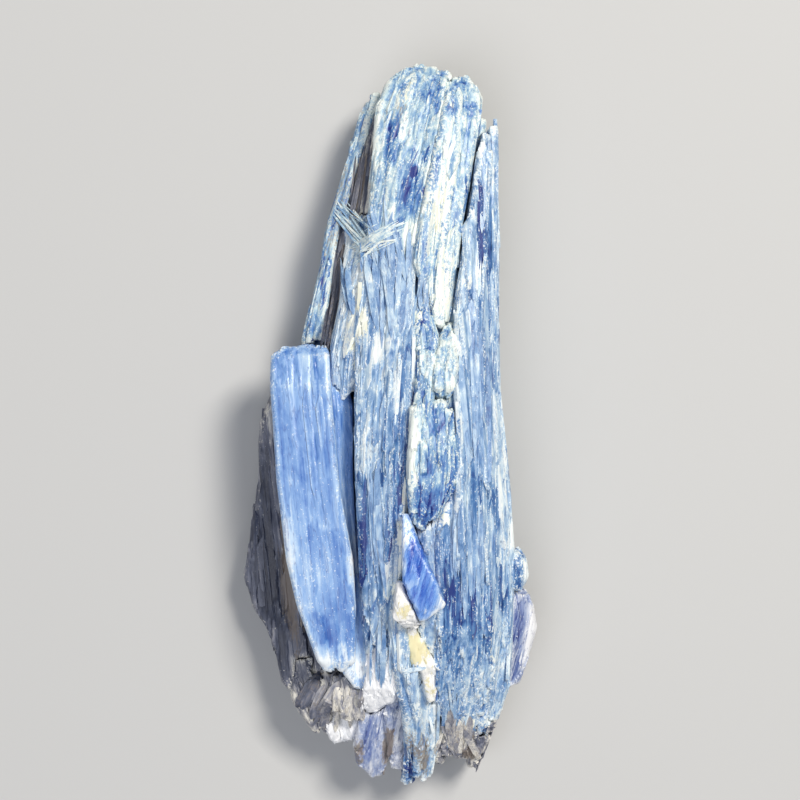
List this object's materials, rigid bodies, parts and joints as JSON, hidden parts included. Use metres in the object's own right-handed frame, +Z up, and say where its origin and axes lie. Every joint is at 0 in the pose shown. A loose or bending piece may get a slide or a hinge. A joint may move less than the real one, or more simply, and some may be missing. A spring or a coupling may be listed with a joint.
{
  "type": "kyanite blade cluster",
  "caption": "Cluster of parallel blue kyanite blades grown side by side, broad and broken at one end and narrow at the other, with white quartz and mica between them.",
  "frame": {"origin": "under the middle of the cluster's box, on the surface it lies on", "axes": "+Y along the blades towards the narrow end, +X to the right when the front is seen from above, +Z up out of the front"},
  "size_m": [0.0446, 0.1096, 0.0249],
  "materials": {
    "blue_kyanite": "satin",
    "cobalt_kyanite": "satin",
    "pale_kyanite": "satin",
    "stained_kyanite": "matte",
    "quartz": "matte",
    "mica": "satin"
  },
  "bodies": {
    "root": {"diagonal_blade": "cobalt_kyanite", "middle_plate": "pale_kyanite", "foot_blade": "pale_kyanite", "wedge_blade": "pale_kyanite", "top_blade": "pale_kyanite", "front_left_blade": "blue_kyanite", "centre_blades": "blue_kyanite", "shoulder_blades": "blue_kyanite", "right_blade": "blue_kyanite", "lower_right_blades": "blue_kyanite", "side_knob": "blue_kyanite", "side_blade": "pale_kyanite", "quartz_wedge": "quartz", "quartz_vein": "quartz", "mica_patch": "mica", "lower_centre_blades": "blue_kyanite", "tongue_blade": "blue_kyanite", "stained_ends": "stained_kyanite", "mica_plates": "mica", "left_edge_blade": "pale_kyanite", "recess_blades": "stained_kyanite", "back_left_blades": "stained_kyanite", "fan_blades": "stained_kyanite", "rest_blade": "blue_kyanite", "under_right_blade": "blue_kyanite", "under_left_blade": "blue_kyanite"}
  },
  "joints": []
}
